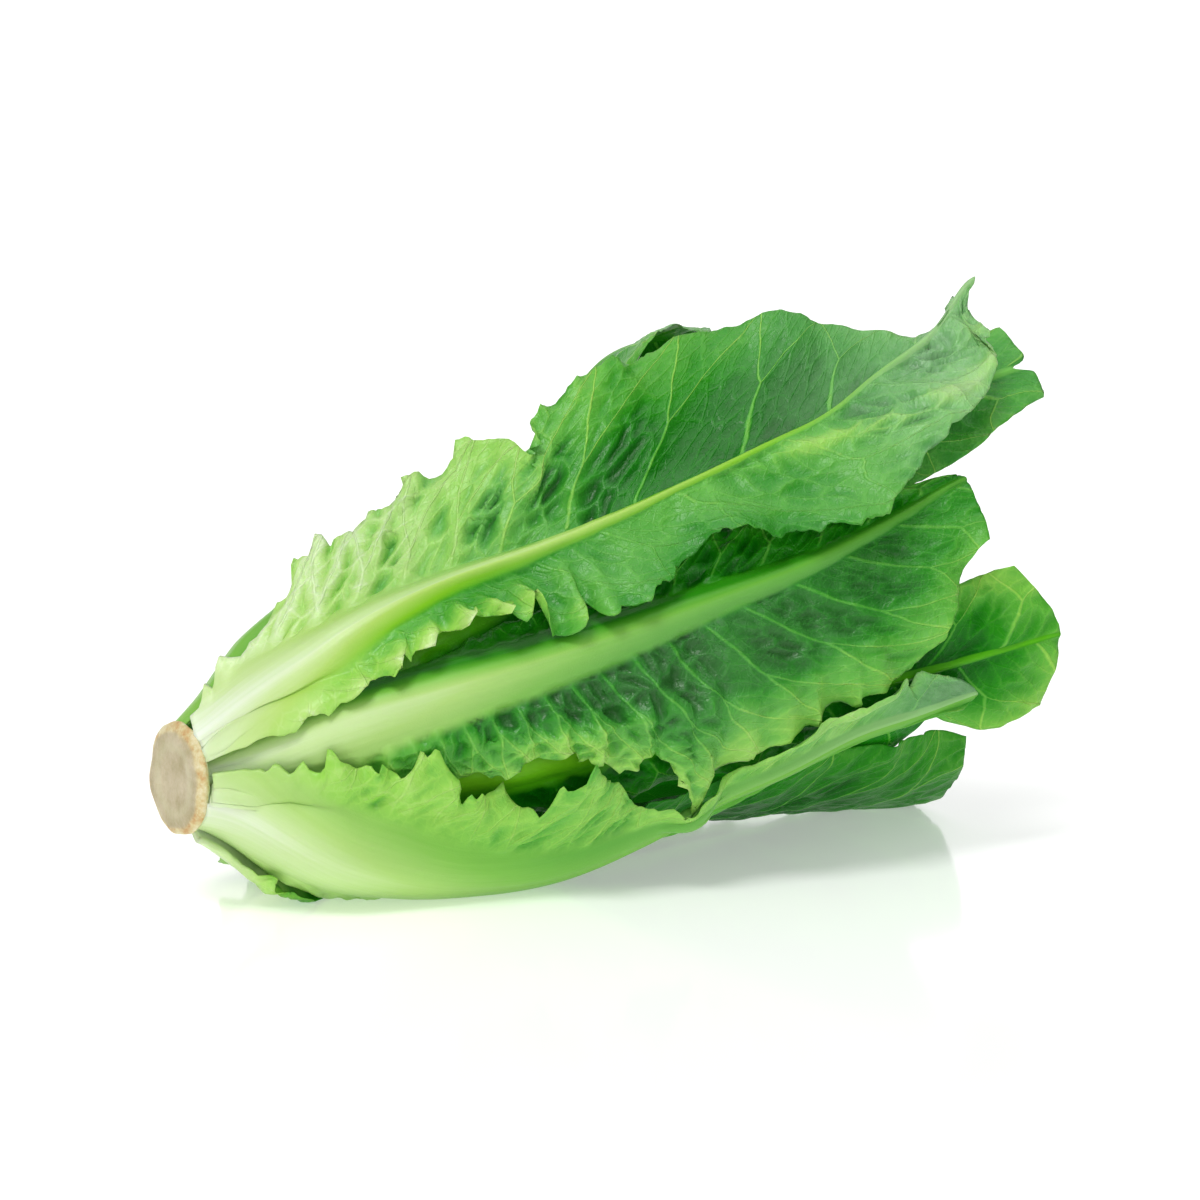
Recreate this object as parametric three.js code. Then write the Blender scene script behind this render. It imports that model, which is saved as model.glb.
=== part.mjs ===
// A head of romaine lettuce (a romaine heart) lying on its side.
// Units are millimetres, +Z is up, +X runs from the cut stem to the open leaf tips.
//
// Every leaf is written in the head's own round coordinates: s is the distance along the
// head's axis from the cut face, a is the angle round that axis in degrees (0 faces -Y,
// 90 is up, 180 is the back, -90 is the underside) and r is the distance from the axis.
// A leaf's blade runs from its rib to a high edge (growing angle) and a low edge. The leaves
// are laid one over another from the heart outwards, each lifted clear of those below it.
import * as THREE from 'three';

// ---- driving dimensions -------------------------------------------------------------
const AXIS_HEIGHT = 38;        // height of the head's axis at the cut face
const AXIS_RISE = 8;           // degrees that the axis climbs towards the tips
const PRESSED = 3.2;           // height at which the lowest leaves are pressed flat
const CUT_RADIUS = 15;         // radius of the cut stem face
const CUT_DEPTH = 3.2;         // length of the bare stem disc
const GAP = 0.35;              // clear space left between neighbouring leaves
const BLADE = 0.95;            // thickness of a leaf's blade
const FIELD_STEP = 1;          // pitch of the grid that records how far out the head reaches

// Stem: distance from the cut face, radius. Behind the disc a core tapers away in the heart.
const STEM = [[0, 13.4], [0.5, 14.6], [1.4, 15], [2.6, 15], [CUT_DEPTH, 14.4],
  [CUT_DEPTH + 0.1, 8.4], [12, 7.8], [20, 5.4], [32, 3.2], [44, 1.6]];
const STEM_SIDES = 30;

// A side of a leaf: reach (degrees from the rib), flare (mm that the edge stands out from the
// rib's radius), ahead (mm that the edge runs towards the tips) at even stations from base to
// tip, cuts [place, width, depth], frill height, number of waves and teeth. A leaf's spike
// [mm, width] draws its blade's end back from the rib's own tip, or runs it on past the rib.
const side = (reach, flare, ahead = [0, 0], more = {}) => ({
  reach, flare, ahead, cuts: [], frill: 1.5, waves: 6, phase: 0.2, teeth: 15, tooth: 0.05,
  power: 1.6, ...more });

// A leaf that is alike on both sides, as the hidden ones of the heart and the back are.
const even = (name, colour, span, turn, radius, reach, more = {}) => ({
  name, colour, span, turn, radius, rows: 20, cols: 3, butt: 0.6, ribHeight: 3, ribWidth: 9,
  high: side(reach, more.flare ?? [0, 0], [0, 0, 0, more.end ?? -14],
    { phase: 0.1, cuts: more.cuts ?? [] }),
  low: side(reach, more.flare ?? [0, 0], [0, 0, 0, more.end ?? -14],
    { phase: 0.6, cuts: more.lowCuts ?? [] }), ...more });

const HEART = 0xa9c968, INNER = 0x3f8a34, OUTER = 0x57a33c, PALE = 0x9cc96b;

const LEAVES = [
  // the heart
  even('heart_1', HEART, [30, 180], [20, 20], [6, 8, 9, 6], [60, 95, 110, 80],
    { rows: 14, cols: 3, ribHeight: 1.5, ribWidth: 6, end: -10 }),
  even('heart_2', HEART, [26, 190], [205, 200], [7, 12, 16, 13], [50, 80, 90, 70],
    { rows: 14, cols: 3, ribHeight: 1.5, ribWidth: 6 }),
  even('heart_3', HEART, [22, 198], [75, 85], [8, 16, 23, 21], [50, 70, 78, 56],
    { rows: 16, cols: 3, ribHeight: 2, ribWidth: 7 }),
  even('heart_4', HEART, [20, 204], [-70, -62], [8, 20, 29, 28], [45, 62, 68, 50],
    { rows: 16, cols: 3, ribHeight: 2, ribWidth: 7 }),
  // the third layer
  even('leaf_third_back', INNER, [16, 210], [160, 168], [9, 25, 37, 40], [40, 54, 60, 44],
    { rows: 18, ribHeight: 2, ribWidth: 8 }),
  even('leaf_third_front', INNER, [15, 214], [-30, -22], [9, 27, 41, 48], [36, 48, 54, 40],
    { rows: 18, ribHeight: 2, ribWidth: 8 }),
  even('leaf_third_top', INNER, [15, 218], [85, 92], [9, 29, 44, 53], [34, 46, 50, 36],
    { rows: 18, ribHeight: 2, ribWidth: 8, cuts: [[0.7, 0.03, 0.25]] }),
  // the second layer
  { name: 'leaf_second_front', colour: INNER, span: [10, 231], rows: 26, cols: 3, butt: 1,
    ribHeight: 3, ribWidth: 9,
    turn: [-14, -17, -11.5, -9, -7, -5], radius: [9, 31, 46, 56, 64, 70],
    high: side([20, 23, 26, 28, 30, 30, 30, 29, 25, 17, 15, 15], [0, 0], [0, 0, 0, -10], { phase: 0.1 }),
    low: side([20, 23, 26, 26, 25, 22, 18, 14, 11, 11, 19, 17], [0, 0], [0, 0, 0, -2],
      { phase: 0.6 }) },
  { name: 'leaf_second_top', colour: INNER, span: [10, 233], rows: 26, cols: 3, butt: 1,
    ribHeight: 3, ribWidth: 9, spike: [-6, 0.12],
    turn: [46, 50, 52, 54, 54], radius: [9, 33, 49, 60, 68, 76],
    high: side([20, 24, 27, 28, 28, 26, 24, 22, 20, 17, 15, 12], [0, 0], [0, 0], { phase: 0.1 }),
    low: side([20, 24, 27, 28, 28, 26, 24, 22, 20, 17.5, 14.5, 8], [0, 0], [0, 0, 0, -1],
      { phase: 0.6 }) },
  { name: 'leaf_second_under', colour: INNER, span: [10, 240], rows: 26, cols: 3, butt: 1,
    ribHeight: 3, ribWidth: 9,
    turn: [-85, -88, -92, -97, -102, -104], radius: [9, 31, 42, 50.5, 60.5, 70.5],
    high: side([26, 34, 38, 46, 58, 46], [0, 0, -2, -6, -14, -15], [0, 0, 0, 0, 0, -14],
      { phase: 0.1, power: 1 }),
    low: side([26, 34, 38, 42, 42, 26], [0, 0], [0, 0, 0, -14], { phase: 0.6 }) },
  even('leaf_second_back', INNER, [10, 232], [140, 140], [9, 34, 50, 61, 68, 72],
    [26, 32, 34, 32, 28, 18], { butt: 1 }),
  even('leaf_second_far', INNER, [10, 236], [-150, -150], [9, 32, 46, 57, 65, 72],
    [26, 32, 34, 32, 28, 18], { butt: 1 }),
  even('leaf_back_top', OUTER, [3.8, 181], [118, 115, 114, 112], [11.6, 30, 42, 50, 60, 77, 73],
    [18, 26, 30, 30, 24, 14], { rows: 24, butt: 3, ribHeight: 4, ribWidth: 11,
      flare: [0, 0, 0, 0, -2, 5, 6], end: -2 }),
  // the front of the head
  { name: 'leaf_front_middle', colour: PALE, span: [4.2, 205], rows: 44, cols: 4, butt: 2.5,
    ribHeight: 4, ribWidth: 9, spike: [-3, 0.5],
    turn: [15, 20, 21, 21.3, 22.5, 24, 25.5, 29, 33],
    radius: [8.5, 32, 43, 51, 57, 61.5, 66, 70, 74],
    high: side([8, 12, 14, 16, 18, 18, 14, 8, 2], [0, -3, -5, -7, -8, -8, -5, -3, -2],
      [0, 0, 0, 0, -8], { frill: 1, teeth: 22 }),
    low: side([10, 23, 33, 36, 28, 32.5, 45, 40.5, 34, 31, 19.5, 13], [0, -3, -4, 0, 0, 2, 3, 3, 2],
      [0, 0, 0, 0, 3, 6, 9, 9, -3],
      { cuts: [[0.518, 0.02, 0.35]], waves: 9, frill: 2, power: 2, teeth: 22 }) },
  { name: 'leaf_front_low', colour: PALE, span: [3.8, 205], rows: 44, cols: 4, butt: 4.5,
    ribHeight: 3.5, ribWidth: 14,
    turn: [-18, -32, -43, -50, -53, -50, -39, -28.5, -23, -17.5, -15.5, -13.5],
    radius: [12.5, 34.3, 44.6, 51, 56, 60.3, 64.2, 67.3, 70],
    high: side([30, 33, 39.5, 39, 30, 36, 11, 6, 10, 9, 7.5, 5], [3, -1, -2, 1, 2, 2, 2, 1, 0],
      [0, 0, 0, 0, 2], { cuts: [[0.283, 0.014, 0.16], [0.39, 0.02, 0.15], [0.915, 0.02, 0.4]],
        waves: 7, frill: 2, teeth: 22 }),
    low: side([26, 31, 32, 31, 29, 20, 7, 7, 3.2, 2.6, 2.6, 3], [0, 0, -1, -2, -2, -1, 0, 0, 0],
      [0, 0], { waves: 5, frill: 0.6, teeth: 22 }) },
  { name: 'leaf_front_top', colour: OUTER, span: [3.8, 231], rows: 44, cols: 4, butt: 4.5,
    ribHeight: 4.5, ribWidth: 9, spike: [8, 0.12],
    turn: [58, 51, 52, 52.5, 51, 50.2, 51, 52.2, 53.4, 58.3, 62, 70.5],
    radius: [12.5, 31.5, 43.5, 49.5, 55, 60.3, 64.8, 69, 73, 77.5, 83.5, 89],
    high: side([20, 29, 33, 30, 28, 27.6, 28, 28.5, 25.5, 17, 3, 2],
      [3.5, 5, 9, 11.5, 16, 22.5, 20.5, 18.5, 16.5, 9, -4, -2], [0, 0],
      { cuts: [[0.388, 0.022, 0.32]], waves: 8, power: 1.8, teeth: 22 }),
    low: side([31, 26, 19.5, 16, 25.4, 22.7, 14.5, 20.4, 24.2, 20.3, 16.3, 12],
      [-1, 3, 8, 9, 6.5, 4.5, 5, 5.5, 7, 8, 4, 2], [0, 0, 0, 0, 0, 0, 0, 0, 0, 2, 3, -3],
      { cuts: [[0.328, 0.014, 0.38], [0.394, 0.014, 0.33]], waves: 7, frill: 1.5, teeth: 22 }) },
  // the back and the underside
  even('leaf_back_middle', OUTER, [3.8, 206], [168, 165, 162, 160], [12.5, 38, 52, 62, 70, 76],
    [22, 28, 31, 29, 26, 15], { rows: 26, butt: 4.5, ribHeight: 4, ribWidth: 12,
      flare: [0, 1, 2, 3], cuts: [[0.66, 0.025, 0.3]], lowCuts: [[0.4, 0.025, 0.3]] }),
  even('leaf_back_low', OUTER, [3.8, 212], [-146, -148, -150, -150], [12.5, 38, 52, 63, 71, 76],
    [22, 28, 30, 28, 24, 14],
    { rows: 26, butt: 4.5, ribHeight: 4, ribWidth: 12, flare: [0, 3, 4, 3], lowest: 4.5,
      cuts: [[0.52, 0.025, 0.3]], lowCuts: [[0.72, 0.025, 0.3]] }),
  { name: 'leaf_underside', colour: PALE, span: [3.8, 96], rows: 18, cols: 3, butt: 4.5,
    ribHeight: 4, ribWidth: 12,
    turn: [-100, -104, -108, -110], radius: [12, 37.5, 47, 49],
    high: side([20, 27, 21, 8, 6], [0, 2, 1, 0, 0], [0, 0, 0, -10], { phase: 0.1 }),
    low: side([9, 28, 30, 20], [0, 6, 13, 12], [0, 0, 0, -10], { phase: 0.6 }) },
];

// ---- geometry helpers ---------------------------------------------------------------
const RISE = Math.tan(THREE.MathUtils.degToRad(AXIS_RISE));
const rad = THREE.MathUtils.degToRad;

function spline(values, u) {                       // Catmull-Rom through even stations
  const n = values.length - 1, x = Math.min(Math.max(u, 0), 1) * n;
  const i = Math.min(Math.floor(x), n - 1), t = x - i;
  const p = (k) => values[Math.min(Math.max(k, 0), n)];
  const [a, b, c, d] = [p(i - 1), p(i), p(i + 1), p(i + 2)];
  return 0.5 * (2 * b + (c - a) * t + (2 * a - 5 * b + 4 * c - d) * t * t
    + (3 * b - a - 3 * c + d) * t * t * t);
}

function place(s, a, r) {                          // round coordinates to the head's frame
  return new THREE.Vector3(s, -r * Math.cos(rad(a)),
    AXIS_HEIGHT + s * RISE + r * Math.sin(rad(a)));
}

// How far out the head already reaches, for each millimetre of length and degree of turn.
const reached = new Float64Array(340 * 360);
function cell(p) {
  const z = p.z - AXIS_HEIGHT - p.x * RISE;
  const i = Math.min(Math.max(Math.round(p.x / FIELD_STEP) + 20, 0), 339);
  const j = ((Math.round(THREE.MathUtils.radToDeg(Math.atan2(z, -p.y))) % 360) + 360) % 360;
  return [i * 360 + j, Math.hypot(p.y, z)];
}

function sampleTriangle(a, b, c, n, visit) {
  const p = new THREE.Vector3();
  for (let i = 0; i <= n; i += 1) {
    for (let j = 0; j <= n - i; j += 1) {
      p.set(0, 0, 0).addScaledVector(a, i / n).addScaledVector(b, j / n)
        .addScaledVector(c, (n - i - j) / n);
      visit(...cell(p));
    }
  }
}

// ---- one leaf ------------------------------------------------------------------------
function midSurface(leaf) {
  const across = 2 * leaf.cols + 1, grid = [];
  for (let i = 0; i <= leaf.rows; i += 1) {
    for (let j = 0; j < across; j += 1) {
      const u = i / leaf.rows, k = j / leaf.cols - 1, w = Math.abs(k) ** 1.35;
      const edge = k > 0 ? leaf.high : leaf.low, sign = Math.sign(k);
      const [point, wide] = leaf.spike ?? [0, 1], length = leaf.span[1] - leaf.span[0];
      const on = u - point / length * (1 - Math.exp(-((w / wide) ** 2)))
        * THREE.MathUtils.smoothstep(u, 0.93, 1);
      let dent = 0;
      for (const [at, width, depth] of edge.cuts) {
        dent += depth * Math.exp(-(((u - at) / width) ** 2));
      }
      const tooth = edge.tooth * (Math.abs(((u * edge.teeth) % 1) * 2 - 1) - 0.5) * Math.min(1, u * 6);
      const reach = spline(edge.reach, u) * (1 - dent) * (1 + tooth);
      const wave = edge.frill * Math.min(1, u * 5) * w ** 3
        * Math.sin(2 * Math.PI * (edge.waves * u + edge.phase));
      grid.push({ u, w,
        s: leaf.span[0] + length * on + spline(edge.ahead, u) * w ** 1.5,
        a: spline(leaf.turn, on) + sign * reach * w,
        r: Math.max(spline(leaf.radius, on) + spline(edge.flare, u) * (1 - dent) * w ** edge.power
          + wave, 1.2) });
    }
  }
  return grid;
}

// Radial half thickness and the rib's swelling. A blade that rises steeply is given more
// radial thickness, so that its true thickness stays the same.
function thicken(leaf, grid) {
  const across = 2 * leaf.cols + 1;
  const slope = (i, j, key) => {
    const at = (ii, jj) => grid[ii * across + jj][key];
    const i0 = Math.max(i - 1, 0), i1 = Math.min(i + 1, leaf.rows);
    const j0 = Math.max(j - 1, 0), j1 = Math.min(j + 1, across - 1);
    return [(at(i1, j) - at(i0, j)) / (i1 - i0), (at(i, j1) - at(i, j0)) / (j1 - j0)];
  };
  grid.forEach((g, n) => {
    const i = Math.floor(n / across), j = n % across;
    const [su, sv] = slope(i, j, 's'), [au, av] = slope(i, j, 'a').map((x) => rad(x) * g.r);
    const [ru, rv] = slope(i, j, 'r');
    let det = su * av - au * sv;
    if (Math.abs(det) < 1e-6) det = 1e-6;
    const steep = Math.hypot(1, (ru * av - rv * au) / det, (su * rv - sv * ru) / det);
    const butt = leaf.butt * Math.exp(-((g.u / 0.12) ** 1.5)) * (1 - 0.6 * g.w * g.w);
    g.half = (BLADE + butt) * Math.min(steep, 2.2) / 2;
    const off = Math.abs(rad(g.a - spline(leaf.turn, g.u)) * g.r);
    const width = leaf.ribWidth * Math.max(1 - g.u, 0) ** 1.1 + 0.8;
    g.rib = (leaf.ribHeight * (1 - g.u) + 0.2) * Math.min(1, g.u * 7) * Math.max(0, 1 - (off / width) ** 2);
  });
}

function triangles(rows, across) {                 // alternate diagonals, facing outwards
  const list = [];
  for (let i = 0; i < rows; i += 1) {
    for (let j = 0; j < across - 1; j += 1) {
      const a = i * across + j, b = a + 1, c = a + across, d = c + 1;
      if ((i + j) % 2) list.push([a, d, b], [a, c, d]);
      else list.push([a, c, b], [b, c, d]);
    }
  }
  return list;
}

function leafGeometry(leaf) {
  const grid = midSurface(leaf), across = 2 * leaf.cols + 1;
  const faces = triangles(leaf.rows, across);
  for (let pass = 0; pass < 7; pass += 1) {        // lift the leaf clear of those below it
    thicken(leaf, grid);
    const inner = grid.map((g) => place(g.s, g.a, Math.max(g.r - g.half, 0.5)));
    let lift = new Float64Array(grid.length), most = 0;
    for (const face of faces) {
      let need = 0;
      sampleTriangle(...face.map((v) => inner[v]), 10, (at, r) => {
        need = Math.max(need, reached[at] + GAP - r);
      });
      most = Math.max(most, need);
      for (const v of face) lift[v] = Math.max(lift[v], need);
    }
    if (most < 0.001) break;
    if (pass < 2) {                                // spread the first lifts smoothly
      for (let turn = 0; turn < 2; turn += 1) {
        lift = lift.map((value, n) => {
          const j = n % across, pick = (m) => (m >= 0 && m < lift.length ? lift[m] : value);
          const around = pick(n - across) + pick(n + across) + (j > 0 ? lift[n - 1] : value)
            + (j < across - 1 ? lift[n + 1] : value);
          return Math.max(value, (around + 2 * value) / 6);
        });
      }
    }
    grid.forEach((g, n) => { g.r += lift[n]; });
  }
  thicken(leaf, grid);
  const outer = grid.map((g) => place(g.s, g.a, g.r + g.half + g.rib));
  const inner = grid.map((g) => place(g.s, g.a, Math.max(g.r - g.half, 0.5)));
  const lowest = leaf.lowest ?? PRESSED;           // leaves pressed flat where they are lain on
  outer.forEach((p) => { p.z = Math.max(p.z, lowest); });
  inner.forEach((p) => { p.z = Math.max(p.z, lowest + BLADE); });
  for (const face of faces) {
    sampleTriangle(...face.map((v) => outer[v]), 14, (at, r) => { reached[at] = Math.max(reached[at], r); });
  }
  const count = grid.length, index = [];
  for (const [a, b, c] of faces) index.push(a, b, c, a + count, c + count, b + count);
  const rim = [];                                  // the rim, round the grid's border
  for (let j = 0; j < across; j += 1) rim.push(j);
  for (let i = 1; i <= leaf.rows; i += 1) rim.push(i * across + across - 1);
  for (let j = across - 2; j >= 0; j -= 1) rim.push(leaf.rows * across + j);
  for (let i = leaf.rows - 1; i > 0; i -= 1) rim.push(i * across);
  rim.forEach((a, n) => {
    const b = rim[(n + 1) % rim.length];
    index.push(a, b, b + count, a, b + count, a + count);
  });
  return solid([...outer, ...inner], index);
}

function solid(points, index) {
  const geometry = new THREE.BufferGeometry();
  geometry.setAttribute('position', new THREE.Float32BufferAttribute(points.flatMap((p) => p.toArray()), 3));
  geometry.setIndex(index);
  geometry.computeVertexNormals();
  return geometry;
}

// ---- the stem ------------------------------------------------------------------------
function stemGeometry() {
  const points = [place(STEM[0][0], 0, 0)], index = [];
  for (const [s, r] of STEM) {
    for (let k = 0; k < STEM_SIDES; k += 1) points.push(place(s, 360 * k / STEM_SIDES, r));
  }
  points.push(place(STEM.at(-1)[0], 0, 0));
  const last = points.length - 1;
  for (let k = 0; k < STEM_SIDES; k += 1) {
    const next = (k + 1) % STEM_SIDES;
    index.push(0, 1 + k, 1 + next);
    for (let n = 0; n < STEM.length - 1; n += 1) {
      const a = 1 + n * STEM_SIDES + k, b = 1 + n * STEM_SIDES + next;
      index.push(a, a + STEM_SIDES, b, b, a + STEM_SIDES, b + STEM_SIDES);
    }
    const end = 1 + (STEM.length - 1) * STEM_SIDES;
    index.push(last, end + next, end + k);
  }
  for (let n = 0; n < index.length; n += 3) {
    sampleTriangle(points[index[n]], points[index[n + 1]], points[index[n + 2]], 16,
      (at, r) => { reached[at] = Math.max(reached[at], r); });
  }
  return solid(points, index);
}

// ---- the head ------------------------------------------------------------------------
const head = new THREE.Group();
function add(name, geometry, color, roughness) {
  const mesh = new THREE.Mesh(geometry, new THREE.MeshStandardMaterial({
    color, roughness, metalness: 0 }));
  mesh.name = name;
  head.add(mesh);
}
add('stem', stemGeometry(), 0xcdb68f, 0.6);
for (const leaf of LEAVES) add(leaf.name, leafGeometry(leaf), leaf.colour, 0.4);

// The origin is under the middle of the head, on the surface it lies on.
const box = new THREE.Box3().setFromObject(head);
const middle = box.getCenter(new THREE.Vector3());
head.position.set(-middle.x, -middle.y, -box.min.z);

const romaine = new THREE.Group();
romaine.add(head);
export default romaine;
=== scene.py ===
"""The looks of a romaine heart: fine leaves, the cut stem, a plain floor, light and camera."""
import math

import bpy
import numpy as np
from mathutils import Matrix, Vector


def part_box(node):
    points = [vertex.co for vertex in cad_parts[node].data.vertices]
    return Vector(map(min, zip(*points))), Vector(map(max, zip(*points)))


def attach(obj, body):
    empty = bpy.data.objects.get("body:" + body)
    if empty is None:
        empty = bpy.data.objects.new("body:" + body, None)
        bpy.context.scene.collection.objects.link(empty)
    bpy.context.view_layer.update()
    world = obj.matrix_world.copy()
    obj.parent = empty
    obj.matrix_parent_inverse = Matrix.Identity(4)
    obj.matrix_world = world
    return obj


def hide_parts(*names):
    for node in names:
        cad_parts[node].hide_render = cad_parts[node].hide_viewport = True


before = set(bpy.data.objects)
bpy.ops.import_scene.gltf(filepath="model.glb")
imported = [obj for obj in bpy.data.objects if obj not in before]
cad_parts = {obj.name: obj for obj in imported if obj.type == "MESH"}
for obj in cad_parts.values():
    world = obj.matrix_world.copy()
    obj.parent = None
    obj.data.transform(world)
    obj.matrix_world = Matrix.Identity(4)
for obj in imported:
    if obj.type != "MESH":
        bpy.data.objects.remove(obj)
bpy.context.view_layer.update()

# ---- the head's own round coordinates, in millimetres ---------------------------------
# s runs along the axis from the cut face, a is the angle round it in degrees (0 faces -Y,
# 90 is up, -90 is the underside) and r is the distance from the axis.
AXIS_HEIGHT = 38.0                       # of the axis at the cut face
RISE = math.tan(math.radians(8.0))       # how the axis climbs towards the tips
STEM_LOWEST = 23.28                      # height of the stem's lowest point
stem_low, stem_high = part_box("stem")
ORIGIN = np.array([stem_low.x * 1000, (stem_low.y + stem_high.y) * 500,
                   stem_low.z * 1000 - STEM_LOWEST])


def place(s, a, r):
    a = np.radians(a)
    return np.stack([s + 0 * a, -r * np.cos(a), AXIS_HEIGHT + s * RISE + r * np.sin(a)], -1)


def polar(points):
    y, z = points[..., 1], points[..., 2] - AXIS_HEIGHT - points[..., 0] * RISE
    return points[..., 0], np.degrees(np.arctan2(z, -y)), np.hypot(y, z)


def spline(values, u):
    """Catmull-Rom through even stations."""
    v = np.asarray(values, float)
    n = len(v) - 1
    x = np.clip(np.asarray(u, float), 0, 1) * n
    i = np.minimum(x.astype(int), n - 1)
    t = x - i
    a, b, c, d = (v[np.clip(i + k, 0, n)] for k in (-1, 0, 1, 2))
    return 0.5 * (2 * b + (c - a) * t + (2 * a - 5 * b + 4 * c - d) * t * t
                  + (3 * b - a - 3 * c + d) * t ** 3)


def smooth(x, lo, hi):
    t = np.clip((x - lo) / (hi - lo), 0, 1)
    return t * t * (3 - 2 * t)


def chance(i, seed):
    """A number from 0 to 1 that only looks random."""
    x = np.sin(i * 127.1 + seed * 311.7 + 1.3) * 43758.5453
    return x - np.floor(x)


def noise1(x, seed):
    """Smooth noise from -1 to 1."""
    i = np.floor(x)
    t = x - i
    t = t * t * (3 - 2 * t)
    return 2 * (chance(i, seed) * (1 - t) + chance(i + 1, seed) * t) - 1


def noise2(x, y, seed):
    """The same over a plane."""
    i, j = np.floor(x), np.floor(y)
    t, q = x - i, y - j
    t, q = t * t * (3 - 2 * t), q * q * (3 - 2 * q)
    at = lambda di, dj: chance((i + di) * 1.7 + (j + dj) * 57.31, seed)
    near = at(0, 0) * (1 - t) + at(1, 0) * t
    far = at(0, 1) * (1 - t) + at(1, 1) * t
    return 2 * (near * (1 - q) + far * q) - 1


# ---- the leaves ------------------------------------------------------------------------
# Every list holds values at even stations from base to tip. A side of a leaf has reach
# (degrees from the rib to the edge), flare (mm that the edge stands out, late or early by
# power), ahead (mm that it runs on towards the tips), cuts (place, width, depth), spikes (mm
# from the base, height, mm before, mm after), stand (the share of its teeth that stands
# outwards) and slow waves (frill in mm, waves, phase). Then what the solids don't carry:
# teeth, ruffle, pleat, hollow and blister (mm), the sheen, a dull silvery green painted on
# where the leaf would reflect light, and tone, from 0, darkest, to 1, palest, beside the rib,
# in the middle of the blade and at the edge: the leaf's own green, in places darkened as
# painted shade where a part lies in shadow.
def side(reach, flare, ahead=(0, 0), **more):
    return {"reach": reach, "flare": flare, "ahead": ahead, "power": 1.6, "cuts": (),
            "spikes": (), "stand": 0, "frill": 1.5, "waves": 6, "phase": 0.2,
            "teeth": (1.2, 0.9, 0.6, 0.3, 0.1), "ruffle": (0.6, 1.2, 1.0, 0.6, 0.4),
            "pleat": (0, 0), "hollow": (0.3, 1.2, 1.2, 0.8, 0.5),
            "blister": (0.3, 0.7, 0.7, 0.6, 0.4), "bloom": (0, 0), **more}


# A leaf has the span of its rib along the axis (mm), the rib's turn (degrees) and radius
# (mm), its two sides, step (mm between points), lowest (mm above the ground where it is
# pressed flat), butt (mm thicker at the foot), the rib's height and half width, a ridge
# under the rib (mm), a fold at fold_at mm below it, with a painted highlight along its top
# and painted shade between it and the rib, and a spike (mm, width) at the tip. pale widens
# the rib's colour above and below; rib_tone is its tone, made darker towards its lower and
# upper edges as painted shade. spacing (mm), sweep and cell (mm) lay out the veins, and
# vein, times low_vein below the rib, is how pale they are.
def leaf(name, slot, span, turn, radius, high, low, **more):
    return {"name": name, "slot": slot, "span": span, "turn": turn, "radius": radius,
            "high": high, "low": low, "step": 1.3, "lowest": 3.2, "butt": 0.6,
            "rib_height": (3, 2.6, 1.8, 1.0, 0.5), "rib_width": (8, 7, 4.5, 2.2, 1.0),
            "ridge": (0, 0), "fold": (0, 0), "fold_at": (9, 9), "crest": 0.4,
            "spike": (0, 1), "pale": (1.15, 1.15), "rib_tone": (0.6, 0.42, 0.36, 0.3),
            "rib_low": (0.1, 0.1), "rib_high": (0, 0), "spacing": (10, 11, 15, 21, 22),
            "sweep": (0.6, 0.7, 0.9, 1.0), "cell": 5.5, "vein": (0.3, 0.4, 0.8, 1, 1),
            "low_vein": 1, **more}


def even(name, slot, span, turn, radius, reach, both, flare=(0, 0), cuts=(), low_cuts=(),
         **more):
    """A leaf that reaches equally far on both sides of its rib."""
    ahead = (0, 0, 0, -14)
    return leaf(name, slot, span, turn, radius,
                side(reach, flare, ahead, phase=0.1, cuts=cuts, **both),
                side(reach, flare, ahead, phase=0.6, cuts=low_cuts, **both), **more)


HEART = {"tone": ((0.8, 0.7, 0.6, 0.55), (0.8, 0.7, 0.6, 0.55), (0.85, 0.75, 0.7, 0.6))}
# the third layer is seen only through gaps, and its low tones are painted shade of those gaps
DEEP = {"tone": ((0.4, 0.12, 0.06, 0.08), (0.4, 0.14, 0.08, 0.1), (0.45, 0.2, 0.14, 0.14))}
DARK = {"tone": ((0.6, 0.2, 0.08, 0.1, 0.22), (0.6, 0.25, 0.1, 0.14, 0.28),
                 (0.7, 0.4, 0.25, 0.28, 0.36)), "bloom": (0, 0, 0, 0.06, 0.14)}
UNDER = {"tone": ((0.6, 0.1, 0.02, 0.06, 0.2), (0.6, 0.15, 0.04, 0.08, 0.24),
                  (0.7, 0.4, 0.2, 0.24, 0.3))}
BROAD = {"tone": ((0.6, 0.3, 0.12, 0.1, 0.08, 0.06, 0.03, 0.03, 0.45),
                  (0.6, 0.3, 0.14, 0.1, 0.1, 0.08, 0.06, 0.1, 0.5),
                  (0.7, 0.5, 0.3, 0.25, 0.25, 0.25, 0.3, 0.45, 0.55)),
         "teeth": (1, 0.6, 0.3, 0.1), "blister": (0.5, 0.5, 0.6, 0.8, 0.7)}
BACK = {"tone": ((0.85, 0.5, 0.3, 0.22, 0.2), (0.85, 0.55, 0.35, 0.26, 0.25),
                 (0.9, 0.65, 0.5, 0.42, 0.4)), "teeth": (1.6, 1.2, 0.8, 0.5, 0.2),
        "ruffle": (0.8, 1.6, 1.4, 0.9, 0.6), "blister": (0.6, 1.1, 1.0, 0.7, 0.4)}
BELOW = {**BACK, "tone": ((1, 0.6, 0.15, 0.05, 0.05), (1, 0.6, 0.15, 0.05, 0.05),
                          (1, 0.6, 0.15, 0.1, 0.1))}
STALK = {"butt": 4.5, "rib_width": (11, 10, 6, 3, 1.2), "rib_tone": (1, 0.85, 0.65, 0.45)}

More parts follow.
